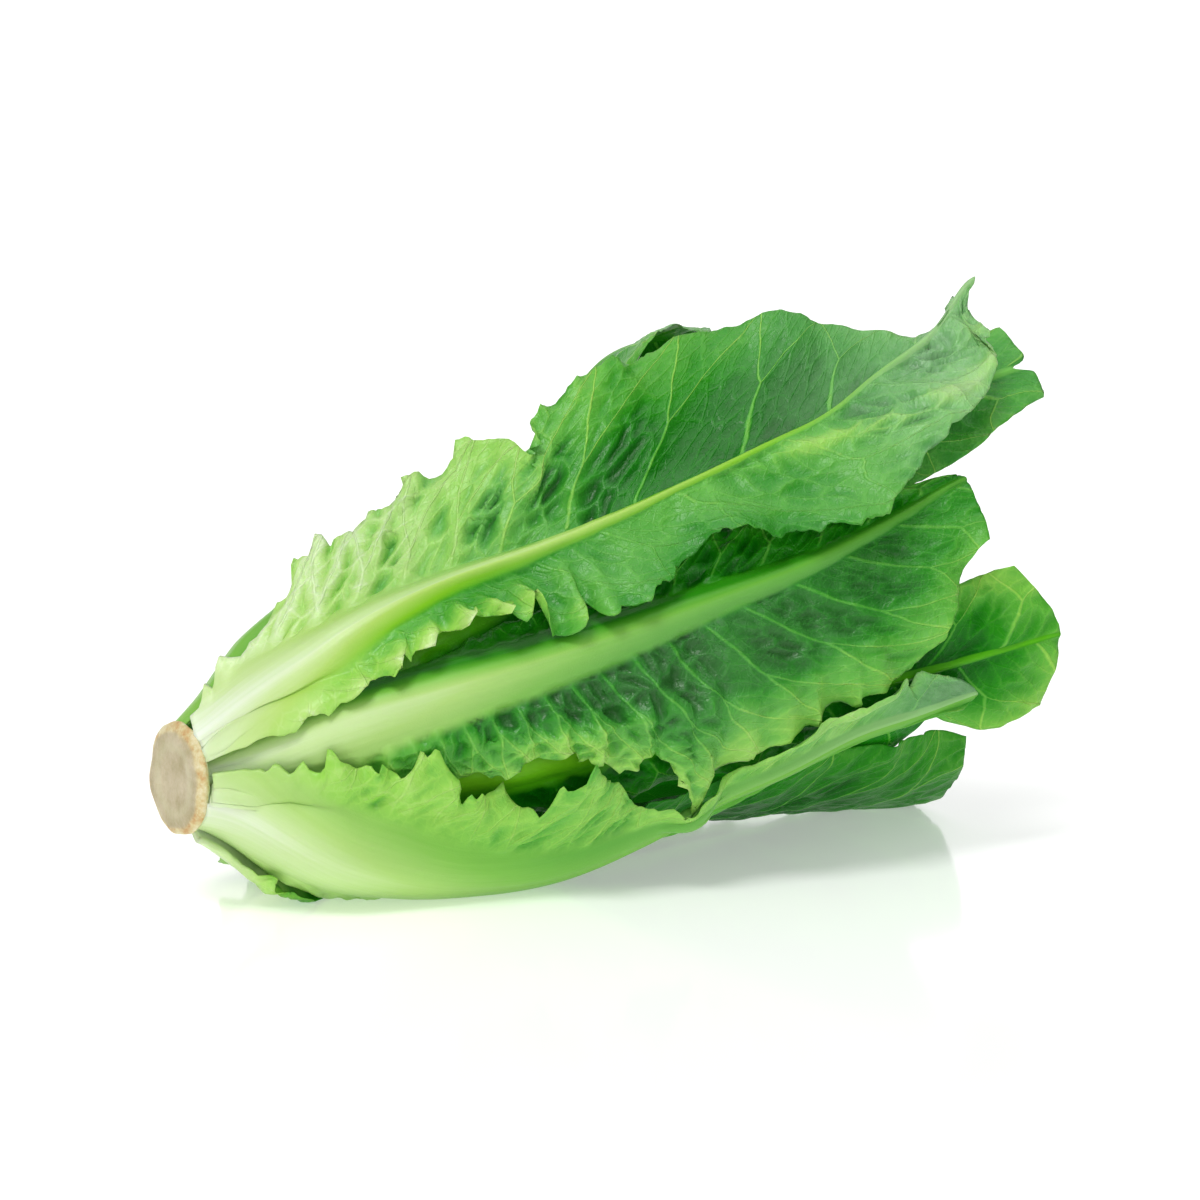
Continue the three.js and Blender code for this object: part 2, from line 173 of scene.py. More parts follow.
LEAVES = [
    even("heart_1", "heart_leaf", (30, 180), (20, 20), (6, 8, 9, 6), (60, 95, 110, 45),
         HEART, step=2),
    even("heart_2", "heart_leaf", (26, 190), (205, 200), (7, 12, 16, 13), (50, 80, 90, 40),
         HEART, step=2),
    even("heart_3", "heart_leaf", (22, 198), (75, 85), (8, 16, 23, 21), (50, 70, 78, 32),
         HEART, step=2),
    even("heart_4", "heart_leaf", (20, 204), (-70, -62), (8, 20, 29, 28), (45, 62, 68, 28),
         HEART, step=2),
    even("leaf_third_back", "inner_leaf", (16, 210), (160, 168), (9, 25, 37, 40),
         (40, 54, 60, 44), DEEP, step=2),
    even("leaf_third_front", "inner_leaf", (15, 214), (-30, -22), (9, 27, 41, 48),
         (36, 48, 54, 40), DEEP, step=1.8),
    even("leaf_third_top", "inner_leaf", (15, 218), (85, 92), (9, 29, 44, 53),
         (34, 46, 50, 36), DEEP, cuts=((0.7, 0.03, 0.25),), step=1.8),
    leaf("leaf_second_front", "inner_leaf", (10, 231), (-14, -17, -11.5, -9, -7, -5),
         (9, 31, 46, 56, 64, 70),
         side((20, 23, 26, 28, 30, 30, 30, 29, 25, 18, 17, 18), (0, 0), (0, 0, 0, -16),
              phase=0.1, **BROAD),
         side((20, 23, 26, 26, 25, 22, 18, 14, 11, 11, 19, 17), (0, 0), (0, 0, 0, -2),
              phase=0.6, **BROAD),
         butt=1, step=1.2, rib_width=(8, 7, 4.5, 1.6, 0.6),
         rib_tone=(0.55, 0.45, 0.4, 0.3, 0.25, 0.3), vein=(0.4, 0.6, 0.7, 0.75)),
    leaf("leaf_second_top", "inner_leaf", (10, 233), (46, 50, 52, 54, 54),
         (9, 33, 49, 60, 68, 76),
         side((20, 24, 27, 28, 28, 26, 24, 22, 20, 17, 15, 12), (0, 0), phase=0.1, **DARK),
         side((20, 24, 27, 28, 28, 26, 24, 22, 20, 17.5, 14.5, 8), (0, 0), (0, 0, 0, -1),
              phase=0.6, **DARK),
         butt=1, step=1.2, spike=(-6, 0.12)),
    leaf("leaf_second_under", "inner_leaf", (10, 240), (-85, -88, -92, -97, -102, -104),
         (9, 31, 42, 50.5, 60.5, 70.5),
         side((26, 34, 38, 46, 58, 56), (0, 0, -2, -6, -14, -19), (0, 0, 0, 0, 0, -14),
              phase=0.1, power=1, **UNDER),
         side((26, 34, 38, 42, 42, 26), (0, 0), (0, 0, 0, -14), phase=0.6, **UNDER),
         butt=1, step=1.2),
    even("leaf_second_back", "inner_leaf", (10, 232), (140, 140), (9, 34, 50, 61, 68, 72),
         (26, 32, 34, 32, 28, 18), DARK, butt=1, step=1.5),
    even("leaf_second_far", "inner_leaf", (10, 236), (-150, -150), (9, 32, 46, 57, 65, 72),
         (26, 32, 34, 32, 28, 18), DARK, butt=1, step=1.5),
    leaf("leaf_back_top", "outer_leaf", (3.4, 181), (118, 115, 114, 112),
         (11.6, 30, 42, 50, 57, 79, 80),
         side((18, 26, 30, 30, 24, 14), (0, 0, 0, 0, -6, -18, -18), (0, 0, 0, -8),
              phase=0.1, **BACK),
         side((18, 26, 30, 30, 24, 16), (0, 0, 0, 0, -2, 5, 0), (0, 0, 0, -10),
              phase=0.6, **BACK),
         butt=3, step=1.2),
    leaf("leaf_front_middle", "outer_leaf", (4.2, 205),
         (15, 20, 21, 21.3, 22.5, 24, 25.5, 29, 33), (8.5, 32, 43, 51, 57, 61.5, 66, 70, 74),
         side((16, 13, 14, 16, 18, 18, 14, 8, 2), (0, -3, -5, -7, -8, -8, -5, -3, -2),
              (0, 0, 0, 0, -8), frill=1, blister=(0.1, 0.3, 0.3, 0.5, 0.7, 0.6, 0.4),
              # this side's low tones are painted shade, where it lies in the crevice under the
              # frill of the leaf above
              tone=((0.4, 0.2, 0.15, 0.12, 0.14, 0.16, 0.2),
                    (0.4, 0.2, 0.15, 0.12, 0.14, 0.18, 0.24),
                    (0.6, 0.3, 0.2, 0.2, 0.25, 0.35, 0.4))),
         side((18, 24, 33, 36, 28, 32.5, 45, 40.5, 34, 31, 22.5, 14),
              (0, -3, -4, 0, 0, 2, 3, 3, 2), (0, 0, 0, 0, 3, 6, 9, 9, -3),
              spikes=((94, 3, 5, 4), (104, -11, 5.5, 5.5), (115, 9, 5, 10)),
              waves=9, frill=2, power=2,
              bloom=(0, 0, 0.03, 0.06, 0.08, 0.08, 0.06, 0.03, 0.03),
              teeth=(1.2, 1.4, 1.5, 1.5, 1.5, 1.5, 1.2, 0.5, 0.1),
              ruffle=(0.5, 1.0, 1.6, 2.0, 2.0, 1.8, 1.4, 0.8, 0.4),
              pleat=(0, 0, 0.5, 1, 1, 1, 0.6, 0, 0),
              hollow=(0.2, 0.8, 1.1, 1.0, 0.9, 0.8, 0.7, 0.5, 0.3),
              blister=(0.2, 0.6, 1.1, 1.4, 1.5, 1.4, 1.1, 0.8, 0.4),
              tone=((0.9, 0.6, 0.28, 0.17, 0.13, 0.12, 0.12, 0.15, 0.22),
                    (0.9, 0.6, 0.26, 0.14, 0.1, 0.1, 0.12, 0.17, 0.27),
                    (0.9, 0.7, 0.5, 0.58, 0.62, 0.6, 0.5, 0.44, 0.42))),
         butt=2.5, rib_height=(4, 4, 3.4, 2.6, 1.6, 0.9, 0.5), step=0.9, spike=(-3, 0.5),
         rib_width=(9.5, 9, 7.6, 6, 3.8, 2, 1.0),
         rib_tone=(0.96, 0.9, 0.82, 0.64, 0.48, 0.38, 0.33, 0.3, 0.25),
         rib_low=(0.15, 0.12), rib_high=(0.4, 0.9, 0.8, 0.5, 0.25, 0.1),
         spacing=(6, 6, 7, 9, 14, 18, 18), cell=4, sweep=(0.3, 0.35, 0.45, 0.7, 1.2, 1.5),
         vein=(0.2, 0.3, 0.5, 0.6, 0.6, 0.55),
         fold=(0, 0.5, 1.5, 2.4, 2.8, 2.8, 2.4, 2, 1.6, 1.2, 0.6, 0),
         fold_at=(9, 12, 15, 18, 22, 23, 23, 27, 25, 21, 15, 9)),
    leaf("leaf_front_low", "outer_leaf", (3.4, 205),
         (-18, -32, -43, -50, -53, -50, -39, -28.5, -23, -17.5, -15.5, -13.5),
         (12.5, 34.3, 44.6, 51, 56, 60.3, 64.2, 67.3, 70),
         side((30, 33, 39.5, 39, 30, 36, 11, 6, 10, 10, 12, 8),
              (0, -5, -4, 1, 2, 2, 2, 1, 2), (0, 0, 0, 0, 0, 0, 0, 0, -15),
              bloom=(0, 0, 0, 0.05, 0.1, 0.28, 0.35), cuts=((0.915, 0.02, 0.4),),
              spikes=((12, 2, 2, 2), (17, 2, 2, 1.5), (21.5, 7, 1.2, 7), (31, 3, 3, 3),
                      (49, 9, 9, 4), (57, -5, 3, 2.5), (70, 9, 8, 4), (79, -4, 7, 5),
                      (89.5, 4, 3, 8)),
              waves=7, frill=2, teeth=(2.4, 2.6, 2.2, 1.8, 1.2, 0.6, 0.3),
              ruffle=(0.6, 1.3, 1.5, 1.3, 0.9, 0.6, 0.3),
              hollow=(0.2, 0.9, 1.1, 0.8, 0.4, 0.2),
              blister=(0.1, 0.6, 1.0, 0.9, 0.6, 0.4, 0.2),
              tone=((0.75, 0.6, 0.52, 0.48, 0.46, 0.47, 0.48, 0.48, 0.48, 0.49, 0.4, 0.12, 0.06),
                    (0.66, 0.63, 0.6, 0.57, 0.54, 0.52, 0.52, 0.51, 0.5, 0.52, 0.5, 0.16, 0.1),
                    (0.66, 0.66, 0.64, 0.6, 0.57, 0.55, 0.56, 0.56, 0.56, 0.58, 0.6, 0.5, 0.4))),
         side((46, 42, 37, 32, 29, 20, 7, 7, 3.2, 2.6, 2.6, 3),
              (0, 0, -1, -2, -2, -1, 0, 0, 0), (0, 0, 0, 0, -4), waves=5, frill=0.6,
              teeth=(0.6, 0.5, 0.4, 0.2, 0), ruffle=(0.3, 0.5, 0.3, 0.1, 0),
              blister=(0.1, 0.2, 0.2, 0.1, 0),
              tone=((0.95, 0.85, 0.6, 0.4, 0.35), (0.95, 0.8, 0.5, 0.35, 0.3),
                    (0.9, 0.7, 0.45, 0.4, 0.4))),
         butt=4.5, rib_height=(3.5, 3.5, 3.2, 2.6, 2.2, 1.6, 1.2, 0.7, 0.4), step=0.9,
         rib_width=(12, 15, 16, 13, 8, 4.2, 3, 2.4, 1.2), pale=(0.98, 1.5),
         rib_tone=(0.98, 0.9, 0.76, 0.6, 0.46, 0.44, 0.42, 0.42, 0.36),
         rib_high=(0.1, 0.14, 0.08, 0.05, 0, 0), vein=(0.2, 0.3, 0.4, 0.4, 0.6, 0.8)),
    leaf("leaf_front_top", "outer_leaf", (3.4, 231),
         (58, 51, 52, 52.5, 51, 50.2, 51, 52.2, 53.4, 58.3, 62, 70.5),
         (12.5, 31.5, 43.5, 49.5, 55, 60.3, 64.8, 69, 73, 77.5, 83.5, 89),
         side((20, 29, 33, 30, 28, 27.6, 28, 28.5, 24.5, 12.5, 3, 2),
              (3.5, 5, 9, 11.5, 16, 22.5, 20.5, 16, 16, 9, -4, -2),
              cuts=((0.388, 0.022, 0.32),), waves=8, power=1.8, stand=0.75,
              bloom=(0, 0.1, 0.2, 0.1, 0, 0, 0.12, 0.38, 0.7),
              spikes=((4.5, 11, 1.5, 2.5), (8.5, 12, 2, 6), (30, 7, 1.5, 8), (36, 5, 1.5, 4),
                      (66, 4, 7, 2), (73, 5, 0.9, 9)),
              teeth=(2.6, 2.2, 1.8, 1.5, 1.2, 0.6, 0.3, 0.2, 0.1),
              ruffle=(0.8, 1.8, 2.2, 1.9, 1.0, 0.5, 0.4, 0.4, 0.2),
              hollow=(0.5, 1.8, 2.4, 2.2, 1.0, 0.5, 0.4, 0.4, 0.3),
              blister=(0.3, 0.8, 1.2, 1.6, 0.9, 0.5, 0.4, 0.3, 0.2),
              # the low tones beside the rib half-way up are partly the blade's own deeper green
              # and partly painted shade in the trough by the rib
              tone=((0.9, 0.78, 0.6, 0.36, 0.1, 0.06, 0.06, 0.25, 0.5),
                    (0.9, 0.84, 0.72, 0.42, 0.15, 0.09, 0.09, 0.3, 0.5),
                    (0.9, 0.86, 0.76, 0.6, 0.42, 0.34, 0.24, 0.35, 0.5))),
         side((31, 26, 19.5, 16, 25.4, 22.7, 14.5, 20.4, 24.2, 20.3, 16.3, 12),
              (-3, -2, 4, 8, 6.5, 4.5, 5, 5.5, 7, 8, 4, 2),
              (0, 0, 0, 0, 0, 0, 0, 0, 0, 2, 3, -3),
              cuts=((0.328, 0.013, 0.38), (0.394, 0.012, 0.33)), waves=7,
              pleat=(0.5, 1.2, 1.8, 2.4, 2.8, 2.8, 2.2, 0.5, 0.1, 0, 0, 0, 0, 0, 0, 0, 0),
              bloom=(0, 0, 0, 0.05, 0.05, 0.05, 0.12, 0.5, 0.4),
              teeth=(1.6, 1.8, 1.6, 1.4, 1.3, 1.3, 1.1, 0.6, 0.2),
              ruffle=(0.5, 1.0, 1.4, 1.4, 0.8, 0.6, 0.4, 0.3, 0.1),
              hollow=(0, 0.3, 0.5, 0.6, 0.6, 0.5, 0.9, 2.6, 1.6),
              blister=(0.1, 0.4, 0.4, 0.6, 0.6, 0.6, 0.5, 0.9, 0.6),
              spikes=((14, 1.5, 2, 2),),
              tone=((0.95, 0.6, 0.16, 0.22, 0.34, 0.38, 0.34, 0.32, 0.45),
                    (0.9, 0.6, 0.3, 0.32, 0.33, 0.34, 0.36, 0.5, 0.6),
                    (0.8, 0.7, 0.68, 0.42, 0.2, 0.2, 0.36, 0.44, 0.5))),
         butt=4.5, rib_height=(4.5, 4.3, 4, 2.6, 1.4, 0.8, 0.8, 1.2, 0.8), step=0.9,
         rib_width=(12, 9, 5.5, 2.8, 1.3, 0.8, 0.7, 0.8, 0.8), pale=(1.05, 0.9),
         ridge=(0, 0, 0, 1, 3, 3.5, 3, 2.5, 1), spacing=(9, 11, 14, 20, 28, 30, 28, 22),
         sweep=(0.5, 0.6, 0.8, 1.0, 1.1, 1.0), fold=(0, 0, 0, 0, 0, 0, 0, 1, 3.5, 4, 3, 1),
         fold_at=(8, 8, 8, 8, 8, 8, 6, 3, 5, 12, 14, 14), crest=0.9, spike=(8, 0.12),
         rib_tone=(1, 0.93, 0.84, 0.8, 0.72, 0.58, 0.45, 0.4, 0.4),
         rib_low=(0, 0.3, 0.42, 0.2, 0.05, 0, 0), rib_high=(0, 0.1, 0.15, 0.15, 0.1, 0, 0),
         vein=(0.2, 0.3, 0.4, 0.8, 1, 1.1, 1.1, 0.8, 0.6), low_vein=0.3),
    even("leaf_back_middle", "outer_leaf", (3.4, 206), (168, 165, 162, 160),
         (12.5, 38, 52, 62, 70, 76), (22, 28, 31, 29, 26, 15), BACK, flare=(0, 1, 2, 3),
         cuts=((0.66, 0.025, 0.3),), low_cuts=((0.4, 0.025, 0.3),), **STALK),
    even("leaf_back_low", "outer_leaf", (3.4, 212), (-146, -148, -150, -150),
         (12.5, 38, 52, 63, 71, 76), (22, 28, 30, 28, 24, 14), BACK, flare=(0, 3, 4, 3),
         cuts=((0.52, 0.025, 0.3),), low_cuts=((0.72, 0.025, 0.3),), lowest=4.5, **STALK),
    leaf("leaf_underside", "outer_leaf", (3.4, 96), (-100, -104, -108, -110),
         (12, 37.5, 47, 49),
         side((38, 31, 24, 12, 8, 6), (0, -4, -6, -4, 0), (0, 0, 0, -10), phase=0.1,
              spikes=((16, 4, 1.5, 1.5), (31, 3, 5, 3), (41, 4, 4, 3)), **BELOW),
         side((9, 28, 30, 20), (0, 6, 13, 12), (0, 0, 0, -10), phase=0.6, **BELOW),
         butt=1.5, rib_width=(11, 10, 8, 4), step=1.0, rib_tone=(1, 0.8, 0.3, 0.1)),
]
INNERMOST = 7          # the hearts and the third layer, which lie deepest in the head
for number, each in enumerate(LEAVES):
    each["seed"] = number + 1.0
    each["deep"] = number < INNERMOST


# ---- node arithmetic, the same in a material and in geometry nodes ---------------------
class Num:
    """A number in a node tree. Arithmetic on it adds Math nodes."""

    def __init__(self, tree, socket):
        self.tree, self.socket = tree, socket

    def op(self, kind, *others):
        node = self.tree.nodes.new("ShaderNodeMath")
        node.operation = kind
        for put, value in zip(node.inputs, (self, *others)):
            connect(self.tree, value, put)
        return Num(self.tree, node.outputs[0])

    def __add__(self, other):
        return self.op("ADD", other)

    def __sub__(self, other):
        return self.op("SUBTRACT", other)

    def __mul__(self, other):
        return self.op("MULTIPLY", other)

    def __truediv__(self, other):
        return self.op("DIVIDE", other)

    def __rsub__(self, other):
        return self * -1.0 + other

    def ramp(self, lo, hi, start=0.0, end=1.0):
        """Smoothstep between lo and hi, drawn from start to end."""
        node = self.tree.nodes.new("ShaderNodeMapRange")
        node.interpolation_type = "SMOOTHSTEP"
        for put, value in zip(node.inputs, (self, lo, hi, start, end)):
            connect(self.tree, value, put)
        return Num(self.tree, node.outputs[0])


def connect(tree, value, put):
    if isinstance(value, Num):
        tree.links.new(value.socket, put)
    elif isinstance(value, bpy.types.NodeSocket):
        tree.links.new(value, put)
    else:
        put.default_value = value


def vector(tree, x, y, z=0.0):
    node = tree.nodes.new("ShaderNodeCombineXYZ")
    for put, value in zip(node.inputs, (x, y, z)):
        connect(tree, value, put)
    return node.outputs[0]


def noise(tree, where, scale=1.0, detail=2.0, rough=0.5):
    node = tree.nodes.new("ShaderNodeTexNoise")
    node.inputs["Scale"].default_value = scale
    node.inputs["Detail"].default_value = detail
    node.inputs["Roughness"].default_value = rough
    connect(tree, where, node.inputs["Vector"])
    return Num(tree, node.outputs[0])


def cells(tree, where, random=0.85):
    """How far it is to the edge of the cell, where cells of uneven form are about 1 across."""
    node = tree.nodes.new("ShaderNodeTexVoronoi")
    node.voronoi_dimensions, node.feature = "2D", "DISTANCE_TO_EDGE"
    node.inputs["Scale"].default_value = 1.0
    node.inputs["Randomness"].default_value = random
    connect(tree, where, node.inputs["Vector"])
    return Num(tree, node.outputs["Distance"])


def stored(tree, name):
    """The three numbers that the mesh keeps at each point under that name."""
    attribute = tree.nodes.new("ShaderNodeAttribute")
    attribute.attribute_name = name
    parts = tree.nodes.new("ShaderNodeSeparateXYZ")
    tree.links.new(attribute.outputs["Vector"], parts.inputs[0])
    return (Num(tree, o) for o in parts.outputs)


def venation(tree, s, x, w, t, spacing, leaf):
    """The net of veins at s mm along the rib and x mm beside it, w of the way to the edge,
    where t counts the side veins: how far off in mm the nearest side vein is, how near a vein
    of the net between them is, how far inside a cell of that net, and how far from the side
    veins, from 0 to 1."""
    seed, cell = leaf["seed"], leaf["cell"]
    right = x.op("GREATER_THAN", 0.0)
    drift = noise(tree, vector(tree, s * 0.03, x * 0.03, seed * 3.7), detail=1.0) - 0.5
    wobble = noise(tree, vector(tree, s * 0.12, x * 0.12, seed * 5.1), detail=1.0) - 0.5
    crumple = noise(tree, vector(tree, s * 0.07, x * 0.07, seed * 1.9), detail=2.0) - 0.5
    lag = drift * 0.5 + wobble * 0.1
    t = t + lag + right * 0.43 + seed * 0.37
    off = ((t + 0.5).op("FRACT") - 0.5).op("ABSOLUTE")
    fork = (w - 0.55).op("MAXIMUM", 0.0) * 1.05
    d = (off - fork).op("ABSOLUTE") * spacing
    where = vector(tree, (s + lag * spacing * 0.7 + crumple * 9.0 + right * 31.0) / cell,
                   (x + crumple * 9.0 + wobble * 4.0) / (cell * 1.3) + seed * 9.0)
    edge = cells(tree, where, random=1.0)
    return d, edge.ramp(0.015, 0.1, 1.0, 0.0), edge.ramp(0.0, 0.34), (d / spacing).ramp(0.02, 0.36)


def evaluate_veins(leaf, s, x, w, t, spacing):
    """venation's numbers at each point, worked out by geometry nodes, so that the relief and
    the material's pattern agree."""
    mesh = bpy.data.meshes.new("points")
    mesh.vertices.add(s.size)
    mesh.vertices.foreach_set("co", np.stack([s, x, w], -1).astype(np.float32).ravel())
    count = mesh.attributes.new("count", "FLOAT_VECTOR", "POINT")
    counted = np.stack([t, spacing, 0 * s], -1).astype(np.float32)
    count.data.foreach_set("vector", counted.ravel())
    mesh.update()
    thing = bpy.data.objects.new("points", mesh)
    bpy.context.scene.collection.objects.link(thing)
    tree = bpy.data.node_groups.new("veins", "GeometryNodeTree")
    for way in ("INPUT", "OUTPUT"):
        tree.interface.new_socket("Geometry", in_out=way, socket_type="NodeSocketGeometry")
    start, end = tree.nodes.new("NodeGroupInput"), tree.nodes.new("NodeGroupOutput")
    parts, counts = (tree.nodes.new("ShaderNodeSeparateXYZ") for _ in range(2))
    tree.links.new(tree.nodes.new("GeometryNodeInputPosition").outputs[0], parts.inputs[0])
    read = tree.nodes.new("GeometryNodeInputNamedAttribute")
    read.data_type = "FLOAT_VECTOR"
    read.inputs["Name"].default_value = "count"
    tree.links.new(read.outputs["Attribute"], counts.inputs[0])
    numbers = [Num(tree, o) for o in (*parts.outputs, *counts.outputs[:2])]
    d, net, inside, trough = venation(tree, *numbers, leaf)
    move = tree.nodes.new("GeometryNodeSetPosition")
    tree.links.new(start.outputs[0], move.inputs["Geometry"])
    tree.links.new(vector(tree, d, inside, trough), move.inputs["Position"])
    tree.links.new(move.outputs[0], end.inputs[0])
    thing.modifiers.new("veins", "NODES").node_group = tree
    done = thing.evaluated_get(bpy.context.evaluated_depsgraph_get()).data
    out = np.zeros(s.size * 3, np.float32)
    done.vertices.foreach_get("co", out)
    bpy.data.objects.remove(thing)
    bpy.data.meshes.remove(mesh)
    bpy.data.node_groups.remove(tree)
    out = out.reshape(*s.shape, 3).astype(float)
    return out[..., 0], out[..., 1], out[..., 2]


# ---- the shape of a leaf ---------------------------------------------------------------
LONG, ROUND, AHEAD = 360, 360, 30
# how far out the head reaches by now, per mm of length from AHEAD mm before the cut face,
# and per degree round the axis
reached = np.zeros((LONG, ROUND))
GAP = 0.35             # mm kept between leaves that lie on each other
CLEAR = 0.02           # mm that a leaf may still lack of that gap
TIP_NARROW = 0.93      # the part of the rib where a spike starts to draw the tip out
THICKNESS = 0.95       # of a blade, in mm
INNERMOST_RADIUS = 1.2


def widest(grid, times, round_about=False):
    """Each cell becomes the largest of itself and the eight round it."""
    for _ in range(times):
        g = np.pad(grid, ((1, 1), (0, 0)), mode="edge")
        g = np.pad(g, ((0, 0), (1, 1)), mode="wrap" if round_about else "edge")
        g = np.maximum(np.maximum(g[:-2], g[1:-1]), g[2:])
        grid = np.maximum(np.maximum(g[:, :-2], g[:, 1:-1]), g[:, 2:])
    return grid


def blurred(grid, times):
    """Each cell becomes a weighted mean of itself and the eight round it."""
    for _ in range(times):
        g = np.pad(grid, 1, mode="edge")
        g = (g[:-2] + 2 * g[1:-1] + g[2:]) / 4
        grid = (g[:, :-2] + 2 * g[:, 1:-1] + g[:, 2:]) / 4
    return grid


def read_field(field, s, a):
    """What a field like reached holds at s mm and a degrees, between its cells too."""
    x, y = np.clip(s + AHEAD, 0, LONG - 1.01), a % ROUND
    i, j = x.astype(int), y.astype(int)
    t, q = x - i, y - j
    near, far = j % ROUND, (j + 1) % ROUND
    return ((field[i, near] * (1 - q) + field[i, far] * q) * (1 - t)
            + (field[i + 1, near] * (1 - q) + field[i + 1, far] * q) * t)


def write_field(points):
    """Note how far out the head reaches once these points belong to it."""
    fine = points
    for axis in (0, 1):
        mid = (np.take(fine, range(fine.shape[axis] - 1), axis)
               + np.take(fine, range(1, fine.shape[axis]), axis)) / 2
        fine = np.concatenate([fine, mid], axis)
    s, a, r = polar(fine)
    i = np.clip(np.round(s + AHEAD).astype(int), 0, LONG - 1)
    np.maximum.at(reached, (i, np.round(a).astype(int) % ROUND), r)


def normals(points):
    """Directions across a grid of points, turned outwards."""
    n = np.cross(np.gradient(points, axis=0), np.gradient(points, axis=1))
    n = -n / (np.linalg.norm(n, axis=-1, keepdims=True) + 1e-9)
    s, a, r = polar(points)
    out = place(0 * s, a, 0 * s + 1) - place(0 * s, a, 0 * s)
    return np.where((n * out).sum(-1, keepdims=True) < -0.35, -n, n)


def smooth_normals(points):
    return normals(np.stack([blurred(points[..., k], 1) for k in range(3)], -1))


def teeth(x, size, seed):
    """The edge's own outline, in mm: pointed teeth of uneven size over slow lobes."""
    big = x / 9.5 + 0.45 * noise1(x / 13, seed)
    small = x / 3.6 + 0.5 * noise1(x / 5, seed + 3)
    f, g = big - np.floor(big), small - np.floor(small)
    shape = np.where(f < 0.72, (f / 0.72) ** 1.7, (1 - f) / 0.28)
    fine = np.where(g < 0.7, (g / 0.7) ** 1.5, (1 - g) / 0.3)
    tall = 0.35 + 0.9 * chance(np.floor(big), seed + 5)
    strong = 0.3 + 0.7 * chance(np.floor(small), seed + 8)
    return (size * (1.5 * (shape - 0.4) * tall + 0.75 * (fine - 0.4) * strong)
            + (0.5 + 0.5 * size) * noise1(x / 17, seed + 11))


def layers(rows, u, w):
    """A value drawn from three lists, beside the rib, mid-blade and at the edge."""
    a, b, c = (spline(row, u) for row in rows)
    return np.where(w < 0.5, a + (b - a) * smooth(w, 0, 0.5), b + (c - b) * smooth(w, 0.5, 1))


def run_side(leaf, key, u, w, rib_radius):
    """How one side of the leaf runs from the rib, at u of the rib and w of the way to the edge:
    mm towards the tips, degrees round and mm outwards, and the painted shade of its pleats,
    lighter on their tops and darker in their folds."""
    e, sign = leaf[key], 1 if key == "high" else -1
    x, flow = u * (leaf["span"][1] - leaf["span"][0]), np.minimum(1, u * 5)
    at = leaf["seed"] * 10 + sign
    dent = sum((depth * np.exp(-((u - c) / wide) ** 2) for c, wide, depth in e["cuts"]), 0 * u)
    reach = spline(e["reach"], u) * (1 - dent)
    reach_mm = np.radians(reach) * rib_radius
    margin = teeth(x, spline(e["teeth"], u), at) * np.minimum(1, u * 8)
    for mm, tall, before, after in e["spikes"]:
        away = np.abs(x - mm) / np.where(x - mm < 0, before, after)
        margin = margin + tall * np.maximum(0, 1 - away) ** 1.3
    margin = margin * w ** 7 * np.minimum(1, reach_mm / 12)
    ruffle = spline(e["ruffle"], u) * flow
    lift = ruffle * (w ** 3 * 1.1 * noise1(x / 8.5, at + 2)
                     + w ** 7 * 0.9 * noise1(x / 3.4, at + 4)
                     + w ** 2 * 1.2 * noise1(x / 21 + w * 0.5, at + 6))
    slide = ruffle * (w ** 4 * 1.2 * noise1(x / 8.5 + 0.5, at + 2)
                      + w ** 7 * 0.8 * noise1(x / 3.4 + 0.5, at + 4))
    rib_edge = spline(leaf["rib_width"], u)
    free = np.clip((reach_mm * w - rib_edge) / np.maximum(reach_mm - rib_edge, 3), 0, 1)
    pleat = spline(e["pleat"], u) * flow * free
    beat = 2 * np.pi * (x / 9.5 + 0.35 * noise1(x / 17, at + 8) + 0.1 * w)
    lift, slide = lift + pleat * np.sin(beat), slide + 0.15 * pleat * np.cos(beat)
    turn_by = (reach * w + np.degrees(margin / rib_radius) * (1 - e["stand"])
               + np.degrees(0.5 * pleat * np.sin(beat + 1.2) / rib_radius) * w ** 3)
    wave = e["frill"] * flow * w ** 3 * np.sin(2 * np.pi * (e["waves"] * u + e["phase"]))
    out = (spline(e["flare"], u) * (1 - dent) * w ** e["power"] + wave + lift
           + margin * e["stand"])
    # the last is the painted shade of the pleats: lighter where a pleat lifts, darker where it
    # sinks
    return (spline(e["ahead"], u) * w ** 1.5 + slide, sign * turn_by, out,
            -pleat * np.sin(beat) * 0.06)


def lay_clear(points, thick):
    """Lift a leaf clear of what the head holds below it."""
    wide = widest(reached, 1, round_about=True)
    for field, spread, soften in ((wide, 3, 6), (wide, 3, 4), (wide, 1, 2), (reached, 1, 1)):
        s, a, r = polar(points - smooth_normals(points) * (thick / 2)[..., None])
        need = np.maximum(read_field(field, s, a) + GAP - r, 0)
        if need.max() < CLEAR:
            break
        s, a, r = polar(points)
        points = place(s, a, r + blurred(widest(need, spread), soften))
    return points


